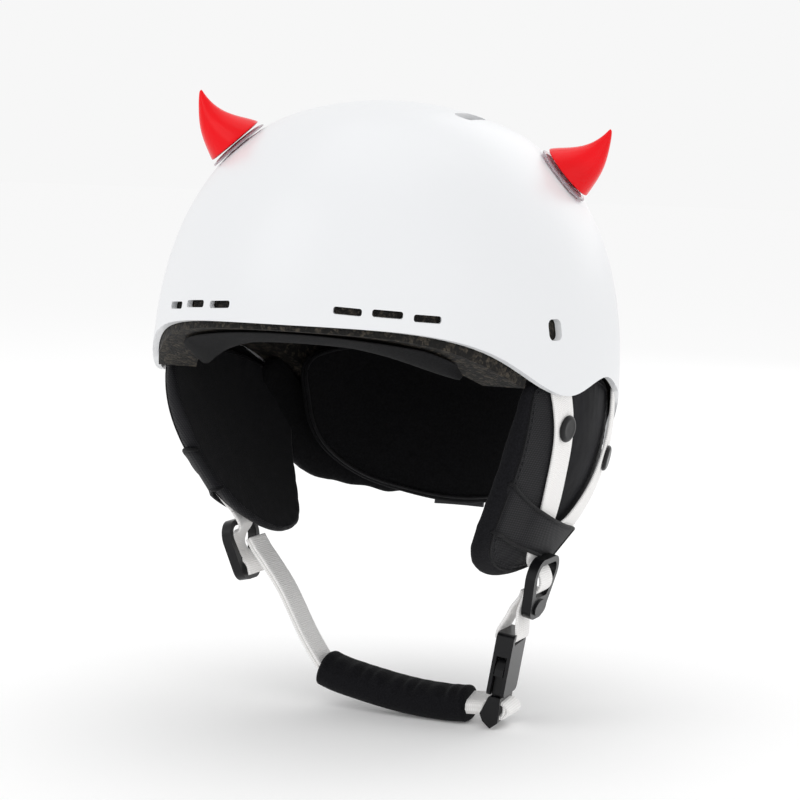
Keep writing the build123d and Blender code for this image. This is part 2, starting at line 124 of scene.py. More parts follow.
def studio():
    """Soft white surroundings, four lights and a pale floor under the part."""
    area_light("key_light", (-0.9, -1.3, 1.3), 1.2, 4)
    area_light("fill_light", (1.5, -0.9, 0.5), 1.3, 1.5)
    area_light("top_light", (0.0, 0.3, 1.7), 1.4, 3)
    area_light("back_light", (0.3, 1.6, 0.8), 1.2, 3)
    world = bpy.data.worlds.new("studio")
    world.use_nodes = True
    background = world.node_tree.nodes["Background"]
    background.inputs["Color"].default_value = (1, 1, 1, 1)
    background.inputs["Strength"].default_value = WORLD_STRENGTH
    bpy.context.scene.world = world
    bpy.context.scene.view_settings.view_transform = "Standard"
    level = cad_bounds[0][2] - FLOOR_GAP
    corners = [(x * FLOOR_REACH, y * FLOOR_REACH, level) for x, y in ((-1, -1), (1, -1), (1, 1), (-1, 1))]
    mesh = bpy.data.meshes.new("floor")
    mesh.from_pydata(corners, [], [(0, 1, 2, 3)])
    floor = bpy.data.objects.new("floor", mesh)
    bpy.context.scene.collection.objects.link(floor)
    mesh.materials.append(plain("floor_paper", (0.92, 0.92, 0.92), 0.95, Emission_Color=(1, 1, 1, 1),
                                Emission_Strength=0.08, Specular_IOR_Level=0.0))


# ---------------------------------------------------------------- materials

def plain(name, colour, roughness, **sockets):
    """A material with its Principled shader's sockets set."""
    made = bpy.data.materials.new(name)
    made.use_nodes = True
    shader = made.node_tree.nodes["Principled BSDF"]
    shader.inputs["Base Color"].default_value = (*colour, 1)
    shader.inputs["Roughness"].default_value = roughness
    for key, value in sockets.items():
        shader.inputs[key.replace("_", " ")].default_value = value
    return made


def add_node(made, kind, **settings):
    """A shader node; settings that start with in_ go to its inputs."""
    node = made.node_tree.nodes.new(kind)
    for key, value in settings.items():
        if key.startswith("in_"):
            node.inputs[key[3:].replace("_", " ")].default_value = value
        else:
            setattr(node, key, value)
    return node


def link(made, source, target):
    made.node_tree.links.new(source, target)


def bump(made, height, distance, strength, chain=None):
    """Relief on the material's surface, on top of the relief in chain."""
    node = add_node(made, "ShaderNodeBump", in_Distance=distance, in_Strength=strength)
    link(made, height, node.inputs["Height"])
    if chain is not None:
        link(made, chain, node.inputs["Normal"])
    link(made, node.outputs["Normal"], made.node_tree.nodes["Principled BSDF"].inputs["Normal"])
    return node.outputs["Normal"]


def two_tone(made, factor, low, high, start=0.35, end=0.65):
    """Base colour that runs from low to high with a factor."""
    ramp = add_node(made, "ShaderNodeValToRGB")
    ramp.color_ramp.elements[0].position = start
    ramp.color_ramp.elements[0].color = (*low, 1)
    ramp.color_ramp.elements[1].position = end
    ramp.color_ramp.elements[1].color = (*high, 1)
    link(made, factor, ramp.inputs["Fac"])
    link(made, ramp.outputs["Color"], made.node_tree.nodes["Principled BSDF"].inputs["Base Color"])


def object_coordinates(made):
    return add_node(made, "ShaderNodeTexCoord").outputs["Object"]


def noise(made, scale, detail=2.0):
    node = add_node(made, "ShaderNodeTexNoise", in_Scale=scale, in_Detail=detail)
    link(made, object_coordinates(made), node.inputs["Vector"])
    return node.outputs["Fac"]


def product(made, first, second):
    node = add_node(made, "ShaderNodeMath", operation="MULTIPLY")
    link(made, first, node.inputs[0])
    link(made, second, node.inputs[1])
    return node.outputs["Value"]


def voronoi(made, scale, feature, output):
    node = add_node(made, "ShaderNodeTexVoronoi", in_Scale=scale, feature=feature)
    link(made, object_coordinates(made), node.inputs["Vector"])
    return node.outputs[output]


def wave(made, where, direction, scale, **settings):
    node = add_node(made, "ShaderNodeTexWave", wave_type="BANDS", bands_direction=direction, in_Scale=scale,
                    **settings)
    link(made, where, node.inputs["Vector"])
    return node.outputs["Fac"]


def shell_paint():
    made = plain("shell_satin_white", (0.79, 0.80, 0.815), 0.36, Coat_Weight=0.12, Coat_Roughness=0.3)
    two_tone(made, noise(made, 6, 1), (0.78, 0.79, 0.805), (0.80, 0.81, 0.825))
    fine = bump(made, noise(made, 1400), 0.00003, 0.5)
    bump(made, noise(made, 160, 1), 0.00004, 0.35, fine)
    return made


def bead_foam():
    """Dark bead foam: flattened beads with a few pale ones and grooves between them."""
    made = plain("eps_bead_foam", (0.02, 0.018, 0.016), 0.7, Specular_IOR_Level=0.25)
    beads_per_metre = 520
    parts = add_node(made, "ShaderNodeSeparateColor")
    link(made, voronoi(made, beads_per_metre, "F1", "Color"), parts.inputs["Color"])
    speckle = product(made, parts.outputs["Red"], noise(made, 900, 2))
    two_tone(made, speckle, (0.005, 0.0045, 0.004), (0.07, 0.058, 0.043), 0.25, 0.68)
    bump(made, voronoi(made, beads_per_metre, "DISTANCE_TO_EDGE", "Distance"), 0.0005, 0.8)
    return made


def fleece():
    made = plain("black_fleece", (0.0035, 0.0035, 0.0045), 0.95, Sheen_Weight=0.03, Sheen_Roughness=0.6,
                 Specular_IOR_Level=0.15)
    two_tone(made, noise(made, 1300, 3), (0.002, 0.002, 0.003), (0.007, 0.007, 0.009))
    pile = bump(made, noise(made, 1500, 4), 0.0005, 0.8)
    bump(made, noise(made, 110, 2), 0.0012, 0.35, pile)
    return made


def liner_fabric():
    made = plain("liner_fabric", (0.003, 0.003, 0.0035), 0.9, Sheen_Weight=0.02, Sheen_Roughness=0.5,
                 Specular_IOR_Level=0.15)
    two_tone(made, noise(made, 900, 3), (0.002, 0.002, 0.0025), (0.006, 0.006, 0.007))
    bump(made, noise(made, 1800, 3), 0.0004, 0.7)
    return made


def softshell():
    made = plain("smooth_softshell", (0.004, 0.004, 0.005), 0.6, Specular_IOR_Level=0.06)
    two_tone(made, noise(made, 30, 2), (0.003, 0.003, 0.004), (0.007, 0.007, 0.009))
    fine = bump(made, noise(made, 2600, 2), 0.0001, 0.6)
    bump(made, noise(made, 45, 2), 0.003, 0.35, fine)
    return made


def twill(name, colour, scale):
    """Diagonal weave on the object's own coordinates."""
    made = plain(name, colour, 0.6, Sheen_Weight=0.02, Sheen_Roughness=0.4, Specular_IOR_Level=0.2)
    where = object_coordinates(made)
    weave = product(made, wave(made, where, "DIAGONAL", scale), wave(made, where, "Z", scale * 0.8))
    dark = tuple(0.45 * part for part in colour)
    two_tone(made, weave, dark, colour, 0.1, 0.7)
    bump(made, weave, 0.0003, 0.9)
    return made


STRAP_UV = "along_strap"


def webbing_fabric():
    """White webbing with fine ribs across it, from the mesh's own UV in metres; its faint white emission is a
    painted glow that brightens it.
    """
    # Painted light: the faint white emission makes the webbing glow brighter than the lamps alone light it.
    made = plain("white_webbing", (0.86, 0.85, 0.84), 0.8, Sheen_Weight=0.1, Emission_Color=(1, 1, 1, 1),
                 Emission_Strength=0.1)
    where = add_node(made, "ShaderNodeUVMap", uv_map=STRAP_UV).outputs["UV"]
    ribs = wave(made, where, "X", 260)
    picks = wave(made, where, "Y", 300, in_Distortion=0.6, in_Detail=1.0)
    two_tone(made, product(made, ribs, picks), (0.74, 0.725, 0.71), (0.86, 0.85, 0.84), 0.0, 0.5)
    coarse = bump(made, picks, 0.00018, 0.7)
    bump(made, ribs, 0.00006, 0.4, coarse)
    return made


def moulded(name, colour, roughness):
    made = plain(name, colour, roughness, Specular_IOR_Level=0.28)
    two_tone(made, noise(made, 60, 2), tuple(0.8 * part for part in colour), colour)
    bump(made, noise(made, 1500, 2), 0.00005, 0.6)
    return made


def horn_plastic():
    made = plain("glossy_red_plastic", (0.80, 0.0, 0.004), 0.22, Coat_Weight=0.12, Coat_Roughness=0.05,
                 Specular_IOR_Level=0.15)
    two_tone(made, noise(made, 40, 1), (0.76, 0.0, 0.004), (0.84, 0.0, 0.005))
    bump(made, noise(made, 90, 1), 0.0001, 0.2)
    return made


def clear_plastic():
    made = plain("clear_pink_plastic", (0.93, 0.80, 0.86), 0.12, IOR=1.45, Transmission_Weight=0.75)
    bump(made, noise(made, 300, 1), 0.00005, 0.3)
    return made


def steel():
    made = plain("plated_steel", (0.55, 0.55, 0.56), 0.3, Metallic=1.0)
    bump(made, noise(made, 800, 1), 0.00003, 0.4)
    return made


# ---------------------------------------------------------------- surfaces and mesh helpers

def dome_level(z, depth):
    """How much of its full width the dome keeps at a height."""
    reach = SKIRT_REACH if z < 0 else CROWN_HEIGHT - depth
    return max(0.0, 1 - abs(z / reach) ** DOME_POWER) ** (1 / DOME_POWER)


def from_dome_axes(x, y, z):
    """Millimetre point from the dome's own axes, which lean back."""
    lean_c, lean_s = math.cos(CROWN_LEAN), math.sin(CROWN_LEAN)
    return (x, y * lean_c + z * lean_s, z * lean_c - y * lean_s)


def dome_side(side):
    """Surface for pads on the dome's sides: (y, z, depth) to a point."""
    def place(y, z, depth):
        across = max(0.0, dome_level(z, depth) ** 2 - (y / (HALF_LENGTH - depth)) ** 2) ** 0.5
        return from_dome_axes(side * (HALF_WIDTH - depth) * across, y, z)
    return place


def dome_rear(x, z, depth):
    """Surface for pads at the dome's rear: (x, z, depth) to a point."""
    along = max(0.0, dome_level(z, depth) ** 2 - (x / (HALF_WIDTH - depth)) ** 2) ** 0.5
    return from_dome_axes(x, (HALF_LENGTH - depth) * along, z)


def dome_top(x, y, depth):
    """Surface for pads under the crown: (x, y, depth) to a point."""
    out = ((x / (HALF_WIDTH - depth)) ** 2 + (y / (HALF_LENGTH - depth)) ** 2) ** 0.5
    return from_dome_axes(x, y, (CROWN_HEIGHT - depth) * max(0.0, 1 - out ** DOME_POWER) ** (1 / DOME_POWER))


def dome_at(angle, height, depth):
    """Point on the dome at a height in the CAD frame and an angle from the rear, to the wearer's left."""
    z = height
    for _ in range(12):
        wide = dome_level(z, depth)
        y = (HALF_LENGTH - depth) * wide * math.cos(angle)
        z = (height + y * math.sin(CROWN_LEAN)) / math.cos(CROWN_LEAN)
    return from_dome_axes((HALF_WIDTH - depth) * wide * math.sin(angle), y, z)


def cheek(side_name):
    """Surface of an ear pad's outer face: (y, z, depth) to a point."""
    def place(y, z, depth):
        drop = max(0.0, CHEEK_START_Z - z)
        x = CHEEK_HALF_WIDTH + 0.05 * drop - CHEEK_LEAN[side_name] * drop ** 2
        x += 0.0011 * drop * y - 0.003 * y ** 2 - depth
        return (SIDES[side_name] * x, y, z)
    return place


def lowered(side_name, points):
    """Side-view points drawn up to the side's own reach below the origin."""
    return [(p[0], p[1] * LOWER_REACH[side_name] if p[1] < 0 else p[1], *p[2:]) for p in points]


CURVE_STEPS = 24


def smooth_curve(points, count, closed=False):
    """Evenly spaced points on a Catmull-Rom curve through the given points."""
    pts = [np.array(p, float) for p in points]
    spans = len(pts) if closed else len(pts) - 1
    if closed:
        pts = [pts[-1]] + pts + [pts[0], pts[1]]
    else:
        pts = [2 * pts[0] - pts[1]] + pts + [2 * pts[-1] - pts[-2]]
    dense = []
    for i in range(spans):
        a, b, c, d = pts[i:i + 4]
        for t in np.linspace(0, 1, CURVE_STEPS, endpoint=False):
            dense.append(0.5 * (2 * b + (c - a) * t + (2 * a - 5 * b + 4 * c - d) * t * t
                                + (3 * b - a - 3 * c + d) * t ** 3))
    dense.append(pts[1] if closed else pts[-2])
    dense = np.array(dense)
    length = np.concatenate([[0], np.cumsum(np.linalg.norm(np.diff(dense, axis=0), axis=1))])
    steps = np.linspace(0, length[-1], count, endpoint=not closed)
    return np.array([[np.interp(s, length, dense[:, k]) for k in range(dense.shape[1])] for s in steps])


def unit(vector):
    vector = np.array(vector, float)
    return vector / np.linalg.norm(vector)


def heading(path, i, closed=False):
    """Direction of travel at one point of a path."""
    if closed:
        return unit(path[(i + 1) % len(path)] - path[i - 1])
    return unit(path[min(i + 1, len(path) - 1)] - path[max(i - 1, 0)])


def flip_outward(mesh):
    """Turn the mesh's faces outward if its signed volume is negative."""
    volume = 0.0
    for poly in mesh.polygons:
        corners = [mesh.vertices[i].co for i in poly.vertices]
        for i in range(1, len(corners) - 1):
            volume += corners[0].dot(corners[i].cross(corners[i + 1]))
    if volume < 0:
        mesh.flip_normals()


def new_piece(name, points, faces, materials, body, face_slots=None, replaces=(), smooth=0,
              uvs=None):
    """Make a piece from millimetre points.

    body is a body's name, or (body, body, start, end) for a piece between two bodies; such a piece is left
    unattached with its transform baked, and the tuple's contents are not used.
    """
    mesh = bpy.data.meshes.new(name)
    mesh.from_pydata([tuple(MM * v for v in p) for p in points], [], faces)
    for made in materials:
        mesh.materials.append(made)
    if face_slots is not None:
        mesh.polygons.foreach_set("material_index", face_slots)
    if uvs is not None:
        layer = mesh.uv_layers.new(name=STRAP_UV)
        for loop in mesh.loops:
            across, along = uvs[loop.vertex_index]
            layer.data[loop.index].uv = (across * MM, along * MM)
    mesh.shade_smooth()
    flip_outward(mesh)
    obj = bpy.data.objects.new(name, mesh)
    bpy.context.scene.collection.objects.link(obj)
    if smooth:
        modifier = obj.modifiers.new("smooth", "SUBSURF")
        modifier.levels = smooth
        modifier.render_levels = smooth
    if isinstance(body, tuple):
        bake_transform(obj)
    else:
        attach(obj, body)
    if replaces:
        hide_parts(*replaces)


def skin(rows, size, closed=False, capped=True):
    """Faces that join rings of equal size, each ring's points in order."""
    faces = []
    for r in range(rows if closed else rows - 1):
        for s in range(size):
            a, b = r * size + s, r * size + (s + 1) % size
            c, d = ((r + 1) % rows) * size + (s + 1) % size, ((r + 1) % rows) * size + s
            faces.append((a, b, c, d))
    if capped and not closed:
        faces.append(tuple(reversed(range(size))))
        faces.append(tuple((rows - 1) * size + s for s in range(size)))
    return faces


RING_SHARES = (0.08, 0.17, 0.26, 0.35, 0.44, 0.53, 0.62, 0.70, 0.78, 0.85, 0.91, 0.96)
ROLL_STEPS = 8
PUCKERS = 31
OUTER_FACE, WALL, INNER_FACE = 0, 1, 2


def pad(name, outline, surface, depths, edge, crowns, materials, body, replaces, centre=None, count=96,
        ripple=0.0, pick=None, wall_depth=None):
    """Crowned closed pad on a surface: outer face, rolled edge and inner face.

    depths and crowns are each (outer face, inner face). pick gives a material's number for a zone and
    a place, and wall_depth gives the inner face's depth at a place on the rim.
    """
    rim = smooth_curve(outline, count, closed=True)
    middle = np.array(centre if centre is not None else rim.mean(0), float)
    arms = rim - middle
    lengths = np.linalg.norm(arms, axis=1)
    rings = [(f, 0.0, 1, f) for f in RING_SHARES]
    for step in range(ROLL_STEPS + 1):
        angle = math.pi / 2 - math.pi * step / ROLL_STEPS
        rings.append((1.0, math.cos(angle), math.sin(angle), 1.0))
    rings += [(f, 0.0, -1, f) for f in reversed(RING_SHARES)]
    points, spots = [], []
    for f, swell, height, near in rings:
        for k in range(count):
            radius = (lengths[k] - edge) * f + edge * swell
            spot = middle + arms[k] / lengths[k] * radius
            inner = depths[1]
            if wall_depth is not None:
                inner += (wall_depth(rim[k]) - depths[1]) * near ** 3
            half, mid = (inner - depths[0]) / 2, (inner + depths[0]) / 2
            pucker = ripple * near ** 6 * math.sin(PUCKERS * 2 * math.pi * k / count + 1.3 * math.sin(5 * k))
            lift = crowns[0 if height > 0 else 1] * (1 - near ** 2) + pucker
            depth = mid - half * height + (-lift if height > 0 else lift)
            points.append(surface(spot[0], spot[1], depth))
            spots.append(spot)

    def material_number(zone, spot):
        return pick(zone, *spot) if pick else 0

    faces = skin(len(rings), count, capped=False)
    slots = []
    for i, face in enumerate(faces):
        ring = i // count - len(RING_SHARES)
        zone = OUTER_FACE if ring < 1 else WALL if ring < ROLL_STEPS - 1 else INNER_FACE
        slots.append(material_number(zone, spots[face[0]]))
    points.append(surface(middle[0], middle[1], depths[0] - crowns[0]))
    points.append(surface(middle[0], middle[1], depths[1] + crowns[1]))
    start = (len(rings) - 1) * count
    for k in range(count):
        faces.append(((k + 1) % count, k, len(points) - 2))
        slots.append(material_number(OUTER_FACE, middle))
        faces.append((start + k, start + (k + 1) % count, len(points) - 1))
        slots.append(material_number(INNER_FACE, middle))
    new_piece(name, points, faces, materials, body, slots, replaces, smooth=1)


TUBE_SIDES = 8


def tube(name, path, radius, made, body, closed=False):
    """Round tube along millimetre points."""
    path = np.array(path, float)
    points = []
    for i in range(len(path)):
        ahead = heading(path, i, closed)
        out = unit(np.cross(ahead, (0.13, 0.21, 0.97)))
        over = np.cross(ahead, out)
        for s in range(TUBE_SIDES):
            angle = 2 * math.pi * s / TUBE_SIDES
            points.append(path[i] + radius * (out * math.cos(angle) + over * math.sin(angle)))
    new_piece(name, points, skin(len(path), TUBE_SIDES, closed), [made], body)


STITCH_LENGTH, STITCH_GAP, STITCH_RADIUS, STITCH_SIDES = 2.0, 1.5, 0.28, 6
# Each ring of a stitch: share of its length, and share of its radius
STITCH_RINGS = ((0.0, 0.35), (0.25, 1.0), (0.75, 1.0), (1.0, 0.35))


def stitches(name, path, made, body):
    """A row of small thread stitches along millimetre points, as one piece."""
    path = np.array(path, float)
    steps = np.concatenate([[0], np.cumsum(np.linalg.norm(np.diff(path, axis=0), axis=1))])
    points, faces = [], []
    at = STITCH_GAP
    while at + STITCH_LENGTH < steps[-1]:
        first, last = [np.array([np.interp(at + d, steps, path[:, k]) for k in range(3)])
                       for d in (0, STITCH_LENGTH)]
        ahead = unit(last - first)
        out = unit(np.cross(ahead, (0.2, 0.3, 0.9)))
        over = np.cross(ahead, out)
        base = len(points)
        for share, size in STITCH_RINGS:
            middle = first + (last - first) * share
            for s in range(STITCH_SIDES):
                angle = 2 * math.pi * s / STITCH_SIDES
                around = out * math.cos(angle) + over * math.sin(angle)
                points.append(middle + STITCH_RADIUS * size * around)
        faces += [tuple(base + v for v in face) for face in skin(len(STITCH_RINGS), STITCH_SIDES)]
        at += STITCH_LENGTH + STITCH_GAP
    new_piece(name, points, faces, [made], body)


def ribbon(name, centres, widths_along, made, body, width=WEBBING, thick=WEBBING_THICK, replaces=()):
    """Flat strap with rounded edges along millimetre points.

    widths_along gives the direction of the strap's width at each point.
    """
    centres = np.array(centres, float)
    half_w, half_t = width / 2, thick / 2
    section = [(k * (half_w - half_t), half_t) for k in np.linspace(-1, 1, 9)]
    section += [(half_w - half_t + half_t * math.cos(a), half_t * math.sin(a)) for a in (0.8, 0.0, -0.8)]
    section += [(-a, -b) for a, b in section[:9]]
    section += [(-half_w + half_t - half_t * math.cos(a), half_t * math.sin(a)) for a in (-0.8, 0.0, 0.8)]
    points, uvs = [], []
    run = 0.0
    for i in range(len(centres)):
        ahead = heading(centres, i)
        across = np.array(widths_along[i], float)
        across = unit(across - ahead * np.dot(across, ahead))
        up = np.cross(across, ahead)
        if i:
            run += np.linalg.norm(centres[i] - centres[i - 1])
        for a, b in section:
            points.append(centres[i] + across * a + up * b)
            uvs.append((a, run))
    new_piece(name, points, skin(len(centres), len(section)), [made], body, replaces=replaces, uvs=uvs)


BAND_ROWS, BAND_COLUMNS = 70, 7


def band(name, upper, lower, thick, made, body, replaces=()):
    """Thin cloth between two millimetre edge lines. Returns the two lines, evenly divided."""
    upper, lower = smooth_curve(upper, BAND_ROWS), smooth_curve(lower, BAND_ROWS)
    points = []
    for i in range(BAND_ROWS):
        across = lower[i] - upper[i]
        normal = unit(np.cross(heading((upper + lower) / 2, i), across))
        for side in (1, -1):
            for share in np.linspace(0, 1, BAND_COLUMNS) if side > 0 else np.linspace(1, 0, BAND_COLUMNS):
                points.append(upper[i] + across * share + normal * side * thick / 2)
    new_piece(name, points, skin(BAND_ROWS, 2 * BAND_COLUMNS), [made], body, replaces=replaces)
    return upper, lower


ROUND_SEGMENTS = 48


def turned(name, profile, origin, axis, made, body, replaces):
    """Round piece from (radius, height) points about an axis, in millimetres."""
    axis = unit(axis)
    up = unit(np.array((0, 0, 1.0)) - axis * axis[2])
    over = np.cross(axis, up)
    origin = np.array(origin, float)
    points = []
    for radius, height in profile:
        for s in range(ROUND_SEGMENTS):
            angle = 2 * math.pi * s / ROUND_SEGMENTS
            points.append(origin + axis * height + radius * (up * math.cos(angle) + over * math.sin(angle)))
    new_piece(name, points, skin(len(profile), ROUND_SEGMENTS), [made], body, replaces=replaces, smooth=1)


def surface_normal(surface, u, v, depth):
    """Direction out of a surface at a place and depth."""
    step = 0.5
    here = np.array(surface(u, v, depth))
    along_u = np.array(surface(u + step, v, depth)) - here
    along_v = np.array(surface(u, v + step, depth)) - here
    normal = unit(np.cross(along_u, along_v))
    outward = here - np.array(surface(u, v, depth + 1.0))
    return normal if np.dot(normal, outward) > 0 else -normal


def dress(node, made, bevel=0.0):
    """Give a CAD node its material, and round its edges a little."""
    obj = nodes[node]
    obj.data.materials.clear()
    obj.data.materials.append(made)
    if bevel:
        modifier = obj.modifiers.new("rounded_edges", "BEVEL")
        modifier.width = bevel * MM
        modifier.segments = 3
        modifier.limit_method = "ANGLE"
        modifier.angle_limit = math.radians(40)
        modifier.harden_normals = True


# ---------------------------------------------------------------- the helmet's pieces

SHELL_PAINT = shell_paint()
FOAM = bead_foam()
FLEECE = fleece()
LINER = liner_fabric()
SOFTSHELL = softshell()
TWILL = twill("black_twill", (0.011, 0.011, 0.014), 420)
BINDING = twill("black_binding_tape", (0.010, 0.010, 0.012), 700)
WHITE_WEBBING = webbing_fabric()
BLACK_PLASTIC = moulded("black_moulded_plastic", (0.005, 0.005, 0.006), 0.3)
GREY_PLASTIC = moulded("grey_moulded_plastic", (0.05, 0.05, 0.055), 0.45)
THREAD = moulded("black_thread", (0.022, 0.022, 0.025), 0.6)
RED_PLASTIC = horn_plastic()
CLEAR_PLASTIC = clear_plastic()
RUBBER = moulded("black_rubber", (0.016, 0.016, 0.017), 0.6)
STEEL = steel()


def hard_parts():
    """Materials and small rounded edges on the CAD meshes that stay visible."""
    dress("outer_shell", SHELL_PAINT)
    dress("eps_liner", FOAM)
    dress("fit_cradle", GREY_PLASTIC, 0.5)
    for name in ("strap_rivets_left", "strap_rivets_right", "goggle_pin", "goggle_stud"):
        dress(name, STEEL, 0.15)
    for name in ("goggle_base", "goggle_snap_cap", "divider_left", "divider_right", "buckle_socket",
                 "buckle_plug", "prong_front", "prong_rear"):
        dress(name, BLACK_PLASTIC, 0.7)
    dress("goggle_strap", RUBBER, 0.5)


# Lower edge of the foam at the front: y, z
FOAM_FRONT_LINE = [(-160, 37.5), (-126, 36.8), (-100, 30.0), (-80, 20.0), (-64, 11.5)]
BROW_HALF_ANGLE, BROW_TAPER_FROM = math.radians(50), 0.72


def front_rim_height(y):
    """Height of the foam's lower edge at the front."""
    return float(np.interp(y, *zip(*FOAM_FRONT_LINE)))


def brow_pad():
    """Brow pad with a lip of fabric that turns under the foam's front edge."""
    stations, points = 81, []
    for i in range(stations):
        share = 2 * i / (stations - 1) - 1
        angle = math.pi + BROW_HALF_ANGLE * share
        rise = max(0.0, (abs(share) - BROW_TAPER_FROM) / (1 - BROW_TAPER_FROM)) ** 2
        end = 1 - rise
        front = dome_at(angle, 37, 9.0)
        back = dome_at(angle, 36, 28.4)
        low_front = front_rim_height(front[1]) + 0.5 * rise
        low_back = front_rim_height(back[1]) + 2.5 * rise
        low_middle = (low_front + low_back) / 2
        lip = 9.0 + 12.0 * rise
        # Depth under the dome and height, from the lip along the underside and up the inner face
        section = [(lip, low_front - 0.2), (lip - 0.2, low_front - 0.9), (lip + 1.2, low_front - 1.5),
                   (0.5 * lip + 12, low_middle - 1.6), (25, low_back - 1.6), (28.0, low_back - 0.8),
                   (28.8, low_back + 1.5), (28.8, low_back + 4 + 10 * end), (27.8, low_back + 6 + 21 * end),
                   (26, low_back + 7 + 24 * end), (23.4, low_back + 6 + 21 * end),
                   (22.6, low_back + 4 + 10 * end), (22.6, low_back + 0.8),
                   (0.5 * lip + 11, low_middle + 0.2)]
        for depth, height in section:
            points.append(dome_at(angle, height, depth))
    new_piece("brow_pad_soft", points, skin(stations, len(section)), [LINER], "helmet",
              replaces=["brow_pad"], smooth=1)


COMFORT_DEPTHS = (22.6, 28.0)
CROWN_PAD_OUTLINE = [(-28, -30), (0, -42), (28, -30), (31, 8), (28, 48), (0, 58), (-28, 48), (-31, 8)]
SIDE_LINER_OUTLINE = [(-46, 28), (0, 24), (46, 28), (50, 55), (40, 82), (0, 86), (-38, 82), (-48, 55)]
NECK_LINER_OUTLINE = [(-70, 16), (-72, -8), (-66, -32), (-50, -48), (-26, -56), (0, -59), (26, -56),
                      (50, -48), (66, -32), (72, -8), (70, 16), (40, 26), (0, 28), (-40, 26)]


def comfort_pads():
    """Pads inside the foam: crown, both sides, and the neck liner with its piping."""
    pad("crown_pad_soft", CROWN_PAD_OUTLINE, dome_top, COMFORT_DEPTHS, 2.4, (0.0, 2.0), [LINER], "helmet",
        ["crown_pad"])
    for side_name, side in SIDES.items():
        pad(f"side_liner_{side_name}_soft", SIDE_LINER_OUTLINE, dome_side(side), COMFORT_DEPTHS, 2.4,
            (0.0, 2.0), [LINER], "helmet", [f"side_liner_{side_name}"])
    pad("neck_liner_soft", NECK_LINER_OUTLINE, dome_rear, (24.8, 30.0), 2.4, (0.0, 1.5), [LINER], "rear_fit",
        ["neck_liner"], count=128)
    seam = inset_ring(NECK_LINER_OUTLINE, (0, -14), 3.0)
    tube("neck_liner_piping", [dome_rear(x, z, 30.4) for x, z in seam], 0.9, BINDING, "rear_fit", closed=True)


# Upper and lower edges of the neck roll: y, z
NECK_ROLL_TOP = [(50, 10), (60, 2), (76, -17), (89, -26), (115, -43.5), (140, -49)]
NECK_ROLL_BOTTOM = [(50, -30), (60, -44), (72, -54), (86, -61), (110, -67), (140, -69)]
NECK_ROLL_DEPTH, NECK_ROLL_HALF_THICK = 11.4, 6.0


def rounded(value, power):
    """A cosine or sine drawn towards the corners of a rounded rectangle."""
    return math.copysign(abs(value) ** power, value)


def neck_roll():
    """Padded band that closes the rear of the opening between the ear pads."""
    stations, sides, points = 97, 24, []
    reach = math.radians(68)
    for i in range(stations):
        angle = -reach + 2 * reach * i / (stations - 1)
        y = dome_at(angle, -45, 11)[1]
        top = float(np.interp(y, *zip(*NECK_ROLL_TOP)))
        bottom = float(np.interp(y, *zip(*NECK_ROLL_BOTTOM)))
        end = min(1.0, 0.55 + 0.45 * min(i, stations - 1 - i) / 4)
        gather = 0.5 * math.sin(i * 0.8) + 0.4 * math.sin(i * 0.33 + 1)
        for s in range(sides):
            turn = 2 * math.pi * s / sides
            across = rounded(math.cos(turn), 0.6) * NECK_ROLL_HALF_THICK * end
            tall = rounded(math.sin(turn), 0.6)
            height = (top + bottom) / 2 + tall * (top - bottom) / 2 * end
            points.append(dome_at(angle, height + (gather if tall < -0.5 else 0), NECK_ROLL_DEPTH - across))
    new_piece("neck_roll_soft", points, skin(stations, sides), [LINER], "helmet", replaces=["neck_roll"])


# Lower edges of the shell and of the foam at the sides: y, z
SIDE_RIM = [(-60, 14.2), (-37, 6.4), (-14, 10), (7, 12.3), (33, 4.6), (50, -1.5), (85, -30)]
SIDE_FOAM = [(-61, 20), (12, 21), (45, 13), (70, -3), (88, -21)]
SKIRT_DEPTH = 3.6


def rim_skirts():
    """Thin black lining on the shell's inside, between the foam's edge and the rim."""
    for side_name, side in SIDES.items():
        uppers, lowers = [], []
        for y in np.linspace(-56, 82, 60):
            low = float(np.interp(y, *zip(*SIDE_RIM))) + 1.2
            high = max(low + 0.6, float(np.interp(y, *zip(*SIDE_FOAM))) - 0.3)
            for rows, height in ((uppers, high), (lowers, low)):
                angle = math.acos(y / (HALF_LENGTH - SKIRT_DEPTH))
                for _ in range(6):
                    angle += (dome_at(angle, height, SKIRT_DEPTH)[1] - y) / HALF_LENGTH
                rows.append(dome_at(side * angle, height, SKIRT_DEPTH))
        band(f"rim_skirt_{side_name}", uppers, lowers, 0.5, LINER, "helmet")


# Outlines and strap routes on the ear pads: y, z
EAR_PAD_TOP = [(66, -20), (60, -5), (44, 6), (20, 13.5), (0, 15.5), (-22, 12.5), (-40, 11.5), (-52, 13)]
EAR_PAD_OUTLINE = {
    "left": [(-57, 8), (-59, -20), (-58, -50), (-49, -72), (-25, -84.5), (8, -85.5), (38, -79), (54, -64),
             (63, -42)] + EAR_PAD_TOP,
    "right": [(-57, 8), (-58, -8), (-50, -30), (-39, -50), (-25, -68), (-6, -81), (12, -85.5), (32, -82),
              (48, -66), (60, -42)] + EAR_PAD_TOP}
EAR_PAD_CENTRE = (4, -32)
EAR_PAD_THICKNESS = 10.0
FRONT_STRAP_ROUTE = [(-36, 12), (-29, -10), (-24, -36), (-14, -62), (-10, -69)]
REAR_STRAP_ROUTE = [(49, 1), (41, -22), (29, -45), (12, -62), (0, -68)]


def inset_ring(outline, centre, inset):
    """A pad's outline drawn in towards its centre."""
    rim = smooth_curve(outline, 180, closed=True)
    arms = rim - np.array(centre, float)
    lengths = np.linalg.norm(arms, axis=1)[:, None]
    return np.array(centre, float) + arms * (1 - inset / lengths)


def ear_pad_wall(spot):
    """Depth of an ear pad's inner face at its rim, less towards the top, where it goes under the shell."""
    return EAR_PAD_THICKNESS - 4.0 * max(0.0, min(1.0, (spot[1] + 15) / 25))


